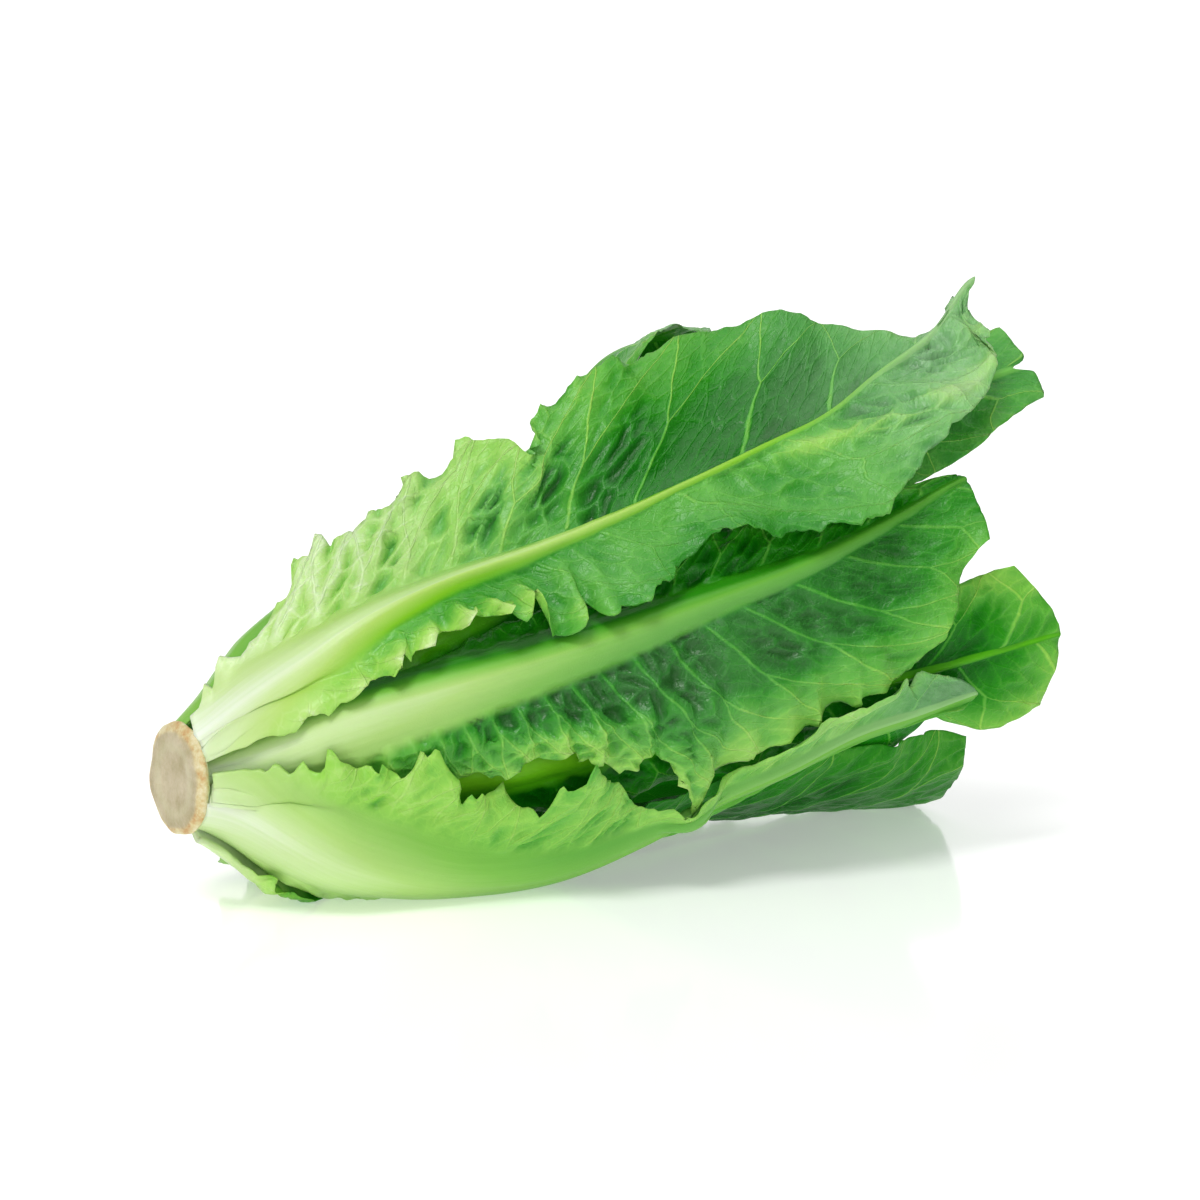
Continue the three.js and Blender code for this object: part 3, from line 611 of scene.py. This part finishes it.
def make_leaf(leaf):
    """The leaf's outer and inner face, and what its material needs to know at each point."""
    s0, s1 = leaf["span"]
    length, seed, step = s1 - s0, leaf["seed"], leaf["step"]
    halfway = np.linspace(0, 1, 50)
    half = max(np.max(np.radians(spline(e["reach"], halfway)) * spline(leaf["radius"], halfway))
               for e in (leaf["high"], leaf["low"]))
    rows, cols = int(length / step), int(half / step)
    u, v = np.meshgrid(np.linspace(0, 1, rows + 1), np.linspace(-1, 1, 2 * cols + 1),
                       indexing="ij")
    w, up = np.abs(v), v > 0

    def both_sides(one):
        """What one("high") and one("low") say, each on its own side of the rib."""
        return np.where(up, one("high"), one("low"))

    point, wide = leaf["spike"]
    on = u - point / length * (1 - np.exp(-(w / wide) ** 2)) * smooth(u, TIP_NARROW, 1)
    turn, radius = spline(leaf["turn"], on), spline(leaf["radius"], on)
    ahead, turn_by, out, groove = both_sides(lambda key: run_side(leaf, key, u, w, radius))
    s, a = s0 + length * on + ahead, turn + turn_by
    r = np.maximum(radius + out, INNERMOST_RADIUS)

    beside = np.radians(a - turn) * r
    off, along = np.abs(beside), s0 + length * u
    rib_width = spline(leaf["rib_width"], u)
    r = r + spline(leaf["ridge"], u) * np.exp(-off / 7)
    off_fold = np.radians(turn - a - spline(leaf["fold_at"], u)) * r
    r = r + spline(leaf["fold"], u) * np.exp(-np.abs(off_fold) / 5)
    q = off / rib_width
    spacing, sweep = spline(leaf["spacing"], u), spline(leaf["sweep"], u)
    count = np.cumsum(length / rows / spacing, 0) - off * sweep / spacing
    swept, spacing = along - off * sweep, spacing / np.hypot(1, sweep)
    d, inside, trough = evaluate_veins(leaf, swept, beside, w, count, spacing)
    veins = np.exp(-(d / (1.5 - 0.7 * w)) ** 2)
    blade = smooth(off, rib_width * 0.85, rib_width * 1.1 + 0.8) * np.minimum(1, u * 6)
    dip = trough * (0.35 + 0.65 * inside)
    blister, hollow = (both_sides(lambda key: spline(leaf[key][name], u))
                       for name in ("blister", "hollow"))
    uneven = np.clip(0.9 + 1.0 * noise2(along / 13, beside / 17, seed), 0.1, 2)
    relief = blade * (veins * (0.6 - 0.4 * w)
                      - hollow * uneven * (dip - 0.45) * (1 - 0.6 * w ** 6)
                      - blister * 0.4 * inside * uneven
                      + blister * 1.3 * noise2(along / 12, beside / 16, seed + 30)
                      + blister * 0.7 * noise2(along / 5.5, beside / 8, seed + 35)
                      + blister * 0.3 * noise2(along / 3, beside / 4, seed + 40))
    points = place(s, a, r)
    points = points + normals(points) * relief[..., None]

    thick = THICKNESS + leaf["butt"] * np.exp(-(u / 0.12) ** 1.5) * (1 - 0.6 * w * w)
    thick = (thick * (1 - 0.6 * smooth(w, 0.9, 1) * smooth(u, 0.02, 0.1))
             - 0.25 * smooth(u, 0.1, 0.4))
    rib = spline(leaf["rib_height"], u) * np.minimum(1, u * 7) * (1 - smooth(q, 0.15, 1.2))
    stripes = noise1(beside / 1.5 + 0.3 * noise1(along / 30, seed), seed + 50)
    rib = rib + 0.05 * stripes * (1 - blade) * np.minimum(1, u * 10)
    points = lay_clear(points, thick)
    n = smooth_normals(points)
    outer = points + n * (thick / 2 + rib)[..., None]
    inner = points - n * (thick / 2)[..., None]
    floor = leaf["lowest"] + 0.15 * (1 + noise2(along / 5, beside / 5, seed))
    squeezed = np.maximum(floor - outer[..., 2], 0)
    outer[..., 2] = np.maximum(outer[..., 2], floor)
    inner[..., 2] = np.maximum(inner[..., 2], outer[..., 2] + 0.25 * (squeezed > 0))
    write_field(outer)

    # painted highlight along the top of the fold, and painted shade between the fold and the rib
    crest = np.minimum(spline(leaf["fold"], u), 3) * leaf["crest"]
    valley = smooth(-off_fold, 1, 7) * smooth(off, rib_width, rib_width + 3) * ~up
    # the tone, less the painted shade of the pleats
    tone = (both_sides(lambda key: layers(leaf[key]["tone"], u, w)) - groove
            + crest * (0.09 * np.exp(-(off_fold / 2.6) ** 2) - 0.035 * valley))
    # painted shade: darker in the hollows between the veins, by how deep they are
    dark = dip * blade * np.minimum(1, 0.15 + 0.42 * hollow) * np.minimum(uneven, 1.3)
    q = q / np.where(up, *leaf["pale"])
    below = beside < 0
    # painted shade: the rib darker towards its lower flank, and towards its upper edge where
    # shadow falls on it
    shaded = np.where(below, spline(leaf["rib_low"], u) * np.minimum(q, 1.15) ** 1.5,
                      spline(leaf["rib_high"], u) * np.minimum(q * 1.6, 1.15))
    strong = spline(leaf["vein"], u) * np.where(below, leaf["low_vein"], 1)
    # how much painted sheen of reflected light each point gets, by the side it lies on
    bloom = np.where(below, spline(leaf["low"]["bloom"], u), spline(leaf["high"]["bloom"], u))
    return outer, inner, {
        "blade": np.stack([swept, beside, w], -1), "tint": np.stack([q, tone, dark], -1),
        "rib": np.stack([spline(leaf["rib_tone"], u) - shaded, count, spacing], -1),
        "vein": np.stack([strong, along, bloom], -1)}


# ---- meshes ----------------------------------------------------------------------------
def mesh_object(name, points, faces, attributes):
    """A mesh of points given in mm, with three numbers kept at each under each name."""
    mesh = bpy.data.meshes.new(name)
    points = (points + ORIGIN) * 0.001
    if isinstance(faces, list):
        mesh.from_pydata(points.tolist(), [], faces)
    else:
        mesh.vertices.add(len(points))
        mesh.vertices.foreach_set("co", points.astype(np.float32).ravel())
        mesh.loops.add(faces.size)
        mesh.loops.foreach_set("vertex_index", faces.astype(np.int32).ravel())
        mesh.polygons.add(len(faces))
        mesh.polygons.foreach_set("loop_start", np.arange(0, faces.size, 4, dtype=np.int32))
    mesh.polygons.foreach_set("use_smooth", np.ones(len(mesh.polygons), bool))
    for key, values in attributes.items():
        made = mesh.attributes.new(key, "FLOAT_VECTOR", "POINT")
        made.data.foreach_set("vector", values.astype(np.float32).ravel())
    mesh.update(calc_edges=True)
    thing = bpy.data.objects.new(name, mesh)
    bpy.context.scene.collection.objects.link(thing)
    return thing


def shell(name, outer, inner, attributes):
    """A closed skin: the outer and the inner face of a grid, and the rim between them."""
    rows, cols = outer.shape[:2]
    index = np.arange(rows * cols).reshape(rows, cols)
    a, b, c, d = index[:-1, :-1], index[:-1, 1:], index[1:, 1:], index[1:, :-1]
    face = np.stack([a, d, c, b], -1).reshape(-1, 4)
    ring = np.concatenate([index[0, :-1], index[:-1, -1], index[-1, :0:-1], index[:0:-1, 0]])
    after = np.roll(ring, -1)
    count = rows * cols
    rim = np.stack([ring, after, after + count, ring + count], -1)
    quads = np.concatenate([face, face[:, ::-1] + count, rim])
    points = np.concatenate([outer.reshape(-1, 3), inner.reshape(-1, 3)])
    return mesh_object(name, points, quads,
                       {k: np.concatenate([v.reshape(-1, 3)] * 2) for k, v in attributes.items()})


# ---- materials -------------------------------------------------------------------------
def new_material(name, roughness, specular):
    material = bpy.data.materials.new(name)
    material.use_nodes = True
    tree = material.node_tree
    shader = tree.nodes["Principled BSDF"]
    shader.inputs["Roughness"].default_value = roughness
    shader.inputs["Specular IOR Level"].default_value = specular
    return material, tree, shader


def lit_through(shader, weight, radius, scale):
    shader.inputs["Subsurface Weight"].default_value = weight
    shader.inputs["Subsurface Radius"].default_value = radius
    shader.inputs["Subsurface Scale"].default_value = scale


def colours(tree, value, stops):
    """A ramp of colours, given as they look on a screen."""
    node = tree.nodes.new("ShaderNodeValToRGB")
    connect(tree, value, node.inputs[0])
    ramp = node.color_ramp
    while len(ramp.elements) < len(stops):
        ramp.elements.new(0.5)
    for element, (at, colour) in zip(ramp.elements, stops):
        element.position = at
        element.color = (*[c ** 2.2 for c in colour], 1)
    return node.outputs[0]


def mix(tree, share, one, two):
    node = tree.nodes.new("ShaderNodeMix")
    node.data_type = "RGBA"
    for put, value in ((0, share), (6, one), (7, two)):
        connect(tree, value, node.inputs[put])
    return node.outputs[2]


def bump(tree, shader, height, distance):
    node = tree.nodes.new("ShaderNodeBump")
    node.inputs["Distance"].default_value = distance
    node.inputs["Strength"].default_value = 1.0
    connect(tree, height, node.inputs["Height"])
    tree.links.new(node.outputs[0], shader.inputs["Normal"])


GREENS = ((0.0, (0.01, 0.27, 0.01)), (0.15, (0.06, 0.40, 0.03)), (0.3, (0.16, 0.52, 0.08)),
          (0.5, (0.36, 0.66, 0.23)), (0.7, (0.57, 0.79, 0.32)), (0.85, (0.69, 0.84, 0.46)),
          (1.0, (0.86, 0.93, 0.74)))
RIBS = ((0.0, (0.18, 0.52, 0.05)), (0.3, (0.34, 0.67, 0.09)), (0.5, (0.49, 0.74, 0.13)),
        (0.75, (0.66, 0.80, 0.38)), (0.9, (0.77, 0.86, 0.60)), (1.0, (0.90, 0.93, 0.86)))
SOFT_RIBS = ((0.0, (0.18, 0.52, 0.08)), (0.3, (0.36, 0.64, 0.20)), (0.5, (0.49, 0.72, 0.29)),
             (0.75, (0.66, 0.80, 0.45)), (0.9, (0.77, 0.86, 0.62)), (1.0, (0.90, 0.93, 0.86)))
# the dull silvery greens of the painted sheen, standing in for reflected light
BLOOM_GREEN, BLOOM_RIB = (0.33, 0.55, 0.31, 1), (0.36, 0.57, 0.3, 1)
CUT_FACE = ((0.2, (0.66, 0.61, 0.46)), (0.5, (0.73, 0.68, 0.55)), (0.8, (0.78, 0.73, 0.61)))
DRIED_RIM = ((0.15, (0.76, 0.58, 0.36)), (0.5, (0.82, 0.76, 0.56)), (0.9, (0.90, 0.87, 0.74)))
STEM_SIDE, PITH_RING = (0.66, 0.74, 0.45, 1), (0.60, 0.58, 0.36, 1)
OUTER_SHINE, INNER_SHINE = 0.24, 0.14
# strengths of a painted green glow that lights the crevices, for the deepest leaves and for the
# rest
DEEP_GLOW, GLOW = 0.11, 0.025


def leaf_material(leaf):
    inner, seed = leaf["slot"] == "inner_leaf", leaf["seed"]
    material, tree, shader = new_material(
        leaf["name"], 0.36, OUTER_SHINE if leaf["slot"] == "outer_leaf" else INNER_SHINE)
    s, x, w = stored(tree, "blade")
    q, tone, dip = stored(tree, "tint")
    rib_tone, count, spacing = stored(tree, "rib")
    strong, along, bloom = stored(tree, "vein")
    d, net, _, _ = venation(tree, s, x, w, count, spacing, leaf)
    vein = (d / w.ramp(0.0, 1.0, 0.62, 0.26)).ramp(0.2, 1.1, 1.0, 0.0)
    cloud = noise(tree, vector(tree, along * 0.05, x * 0.05, seed), detail=3.0) - 0.5
    fleck = noise(tree, vector(tree, along * 0.4, x * 0.4, seed), detail=3.0) - 0.5
    fine = cells(tree, vector(tree, along * 0.42 + fleck * 1.5, x * 0.42 + fleck * 1.5 + seed))
    finest_net = fine.ramp(0.02, 0.14, 1.0, 0.0)
    off_rib = q.ramp(0.95, 1.35)
    # dip carries the painted shade of the hollows between the veins
    shade = tone + cloud * 0.16 + fleck * 0.10 - dip * 0.28 + 0.08 + finest_net * 0.03
    lines = (vein * strong * (1.0 - tone) * 0.34 + net * 0.04) * off_rib
    # the blade's green, mixed towards a dull silvery green as a painted sheen of reflected light
    green = mix(tree, (bloom * (cloud * 1.2 + fleck * 1.2 + 1.0)).op("MINIMUM", 0.8),
                colours(tree, shade.op("MAXIMUM", 0.06) + lines, GREENS), BLOOM_GREEN)
    streak = noise(tree, vector(tree, along * 0.03, x * 0.9, seed), detail=3.0) - 0.5
    # the rib's colour, with the same painted sheen
    rib = mix(tree, (bloom * 1.6).op("MINIMUM", 0.75),
              colours(tree, rib_tone + streak * 0.07 - q * 0.12,
                      RIBS if inner or leaf["name"] == "leaf_front_top" else SOFT_RIBS),
              BLOOM_RIB)
    tree.links.new(mix(tree, q.ramp(0.82, 1.16, 1.0, 0.0), green, rib),
                   shader.inputs["Base Color"])
    grain = noise(tree, vector(tree, along * 2.2, x * 2.2, seed), detail=2.0)
    height = ((vein * 0.4 + net * 0.22 + finest_net * 0.12 + fleck * 0.8) * off_rib
              + streak * (1.0 - off_rib) * 0.25 + grain * 0.12)
    bump(tree, shader, height, 0.00045)
    connect(tree, grain * 0.12 - off_rib * 0.04 + 0.29, shader.inputs["Roughness"])
    # painted glow: a faint green emission stands in for the light that reaches the crevices
    # through the leaves around them
    shader.inputs["Emission Color"].default_value = (0.02, 0.4, 0.01, 1)
    shader.inputs["Emission Strength"].default_value = DEEP_GLOW if leaf["deep"] else GLOW
    lit_through(shader, 0.15, (0.55, 1.0, 0.25), 0.0014)
    return material


# ---- the stem --------------------------------------------------------------------------
SIDES, STEM_SEED = 144, 77
PROFILE = [(0.34, 1.5), (0.33, 3), (0.30, 4.5), (0.26, 6), (0.2, 7.5), (0.1, 9),
           (0.0, 10.2), (-0.05, 11.2), (0.0, 12.0), (0.12, 12.7), (0.3, 13.3), (0.6, 14.0),
           (1.0, 14.55), (1.5, 14.9), (2.1, 14.95), (2.7, 14.7), (3.2, 14.2), (3.3, 8.4),
           (12, 7.8), (20, 5.4), (32, 3.2), (44, 1.6)]    # s and r, from the face to the core
CORE_FROM = 17         # the station of that profile where the core starts
FACE_CENTRE, CORE_END = 0.35, 44.3


def stem_shape():
    """The cut face with its browned, scalloped rim, the disc's side and the core behind."""
    turn, k = np.linspace(0, 360, SIDES, endpoint=False), np.arange(SIDES) / SIDES

    def circle(n, more):
        """Noise round the circle that closes on itself, in n bumps."""
        return noise1(k * n, STEM_SEED + more) * smooth(k, 0, 0.04) * smooth(1 - k, 0, 0.04)

    rings, marks = [], []
    for s, r in PROFILE:
        rim = smooth(r, 10.5, 14) * (s < 3.25)
        bumps = rim * (0.45 * circle(13, 0) + 0.25 * circle(29, 1))
        dip = 0.16 * circle(5, 4) * smooth(r, 1, 8) * (s < 0.8)
        notch = rim * 0.5 * np.maximum(circle(17, 2), 0) * (s < 1.6)
        rings.append(place(s + dip + notch, turn, r + bumps * (r > 9) - 0.15 * (r > 9)))
        marks.append(np.stack([0 * k + s, 0 * k + r, 0 * k], -1))
    index = np.arange(len(PROFILE) * SIDES).reshape(len(PROFILE), SIDES)
    right = np.roll(index, -1, 1)
    faces = np.stack([index[:-1], index[1:], right[1:], right[:-1]], -1).reshape(-1, 4).tolist()
    front, back = index.size, index.size + 1
    faces += [(front, a, b) for a, b in zip(index[0].tolist(), right[0].tolist())]
    faces += [(back, b, a) for a, b in zip(index[-1].tolist(), right[-1].tolist())]
    for s in (FACE_CENTRE, CORE_END):
        rings.append(place(np.array([s]), np.array([0.0]), np.array([0.0])))
        marks.append(np.array([[s, 0, 0]]))
    return np.concatenate(rings), faces, np.concatenate(marks)


def stem_material():
    material, tree, shader = new_material("stem", 0.5, 0.4)
    s, r, _ = stored(tree, "cut")
    spot = tree.nodes.new("ShaderNodeTexCoord").outputs["Object"]
    cloud = noise(tree, spot, 160.0, 4.0, 0.6) - 0.5
    fibre = noise(tree, spot, 900.0, 3.0, 0.6) - 0.5
    face = colours(tree, cloud * 1.6 + 0.5 + fibre * 0.5, CUT_FACE)
    brown = colours(tree, cloud * 2.0 + fibre * 0.8 + 0.5, DRIED_RIM)
    rim = (r + cloud * 3.0).ramp(12.0, 13.4) * (s + cloud * 2.0).ramp(1.9, 3.4, 1.0, 0.0)
    pith = (r + cloud * 3.5).ramp(6.5, 8.5) * (r + cloud * 3.0).ramp(9.0, 11.5, 1.0, 0.0)
    pale = mix(tree, s.ramp(1.6, 2.8).op("MINIMUM", r.ramp(9.0, 12.0)), face, STEM_SIDE)
    ringed = mix(tree, pith * 0.35, pale, PITH_RING)
    tree.links.new(mix(tree, rim, ringed, brown), shader.inputs["Base Color"])
    bump(tree, shader, cloud * 0.8 + fibre * 0.5, 0.0006)
    lit_through(shader, 0.2, (1.0, 0.7, 0.4), 0.003)
    return material


points, faces, marks = stem_shape()
stem = mesh_object("cut_stem", points, faces, {"cut": marks})
stem.data.materials.append(stem_material())
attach(stem, "root")
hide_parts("stem")
write_field(points[CORE_FROM * SIDES:-2].reshape(-1, SIDES, 3))

# ---- the leaves, from the heart outwards ---------------------------------------------------
for each in LEAVES:
    thing = shell("fine_" + each["name"], *make_leaf(each))
    thing.data.materials.append(leaf_material(each))
    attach(thing, "root")
    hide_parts(each["name"])

# ---- floor, light and camera -----------------------------------------------------------
FLOOR_HALF = 9                         # metres
mesh = bpy.data.meshes.new("floor")
corners = ((-FLOOR_HALF, -FLOOR_HALF, 0), (FLOOR_HALF, -FLOOR_HALF, 0),
           (FLOOR_HALF, FLOOR_HALF, 0), (-FLOOR_HALF, FLOOR_HALF, 0))
mesh.from_pydata(corners, [], [(0, 1, 2, 3)])
floor = bpy.data.objects.new("floor", mesh)
bpy.context.scene.collection.objects.link(floor)
material, tree, shader = new_material("floor", 0.12, 0.5)
shader.inputs["Base Color"].default_value = (0.98, 0.98, 0.98, 1)
shader.inputs["Emission Color"].default_value = (1, 1, 1, 1)
shader.inputs["Emission Strength"].default_value = 0.32
floor.data.materials.append(material)

ROOM, BACKDROP = 0.45, 0.57            # how bright the room is, and how much more is seen of it
world = bpy.data.worlds.new("studio")
bpy.context.scene.world = world
world.use_nodes = True
tree = world.node_tree
glow = tree.nodes["Background"]
glow.inputs[0].default_value = (1, 1, 1, 1)
path = tree.nodes.new("ShaderNodeLightPath")
way = tree.nodes.new("ShaderNodeSeparateXYZ")
tree.links.new(tree.nodes.new("ShaderNodeTexCoord").outputs["Generated"], way.inputs[0])
_, back, up = (Num(tree, o) for o in way.outputs)
behind = back.ramp(0.1, 0.6) * up.ramp(0.3, 0.5, 1.0, 0.0)   # the bright wall behind the head
above = up.ramp(0.6, 0.9)                                    # and the soft box over it
reflected = behind * 1.55 + above * 3.5 - 0.55
seen = (Num(tree, path.outputs["Is Camera Ray"])
        + Num(tree, path.outputs["Is Glossy Ray"]) * reflected)
connect(tree, seen * BACKDROP + ROOM, glow.inputs[1])


def lamp(name, azimuth, elevation, soft, strength):
    """A wide soft light from far off: azimuth 0 is in front of the head, -90 its stem end."""
    data = bpy.data.lights.new(name, "SUN")
    data.angle, data.energy = math.radians(soft), strength
    thing = bpy.data.objects.new(name, data)
    bpy.context.scene.collection.objects.link(thing)
    thing.rotation_euler = (math.radians(90 - elevation), 0, math.radians(azimuth))


lamp("above", -60, 58, 22, 1.6)
lamp("front", -25, 14, 15, 0.5)

PICTURE = 1200                         # pixels across
FACE_AT = (173, 780)                   # where in it the centre of the cut face stands
AZIMUTH, ELEVATION = math.radians(-32.5), math.radians(10.0)
DISTANCE = 1.4                         # metres from the cut face to the camera
data = bpy.data.cameras.new("camera")
data.lens, data.sensor_width = 163.8, 36.0
data.clip_end = 50
camera = bpy.data.objects.new("camera", data)
bpy.context.scene.collection.objects.link(camera)
away = np.array([math.sin(AZIMUTH) * math.cos(ELEVATION),
                 -math.cos(AZIMUTH) * math.cos(ELEVATION), math.sin(ELEVATION)])
right = np.array([math.cos(AZIMUTH), math.sin(AZIMUTH), 0.0])
upward = np.cross(right, -away)
cut_face = (ORIGIN + np.array([0, 0, AXIS_HEIGHT])) * 0.001
pixel = DISTANCE * data.sensor_width / (data.lens * PICTURE)   # its size there, in metres
camera.location = (cut_face + away * DISTANCE - right * (FACE_AT[0] - PICTURE / 2) * pixel
                   + upward * (FACE_AT[1] - PICTURE / 2) * pixel)
camera.rotation_euler = (math.pi / 2 - ELEVATION, 0, AZIMUTH)
bpy.context.scene.camera = camera
bpy.context.scene.view_settings.view_transform = "Standard"
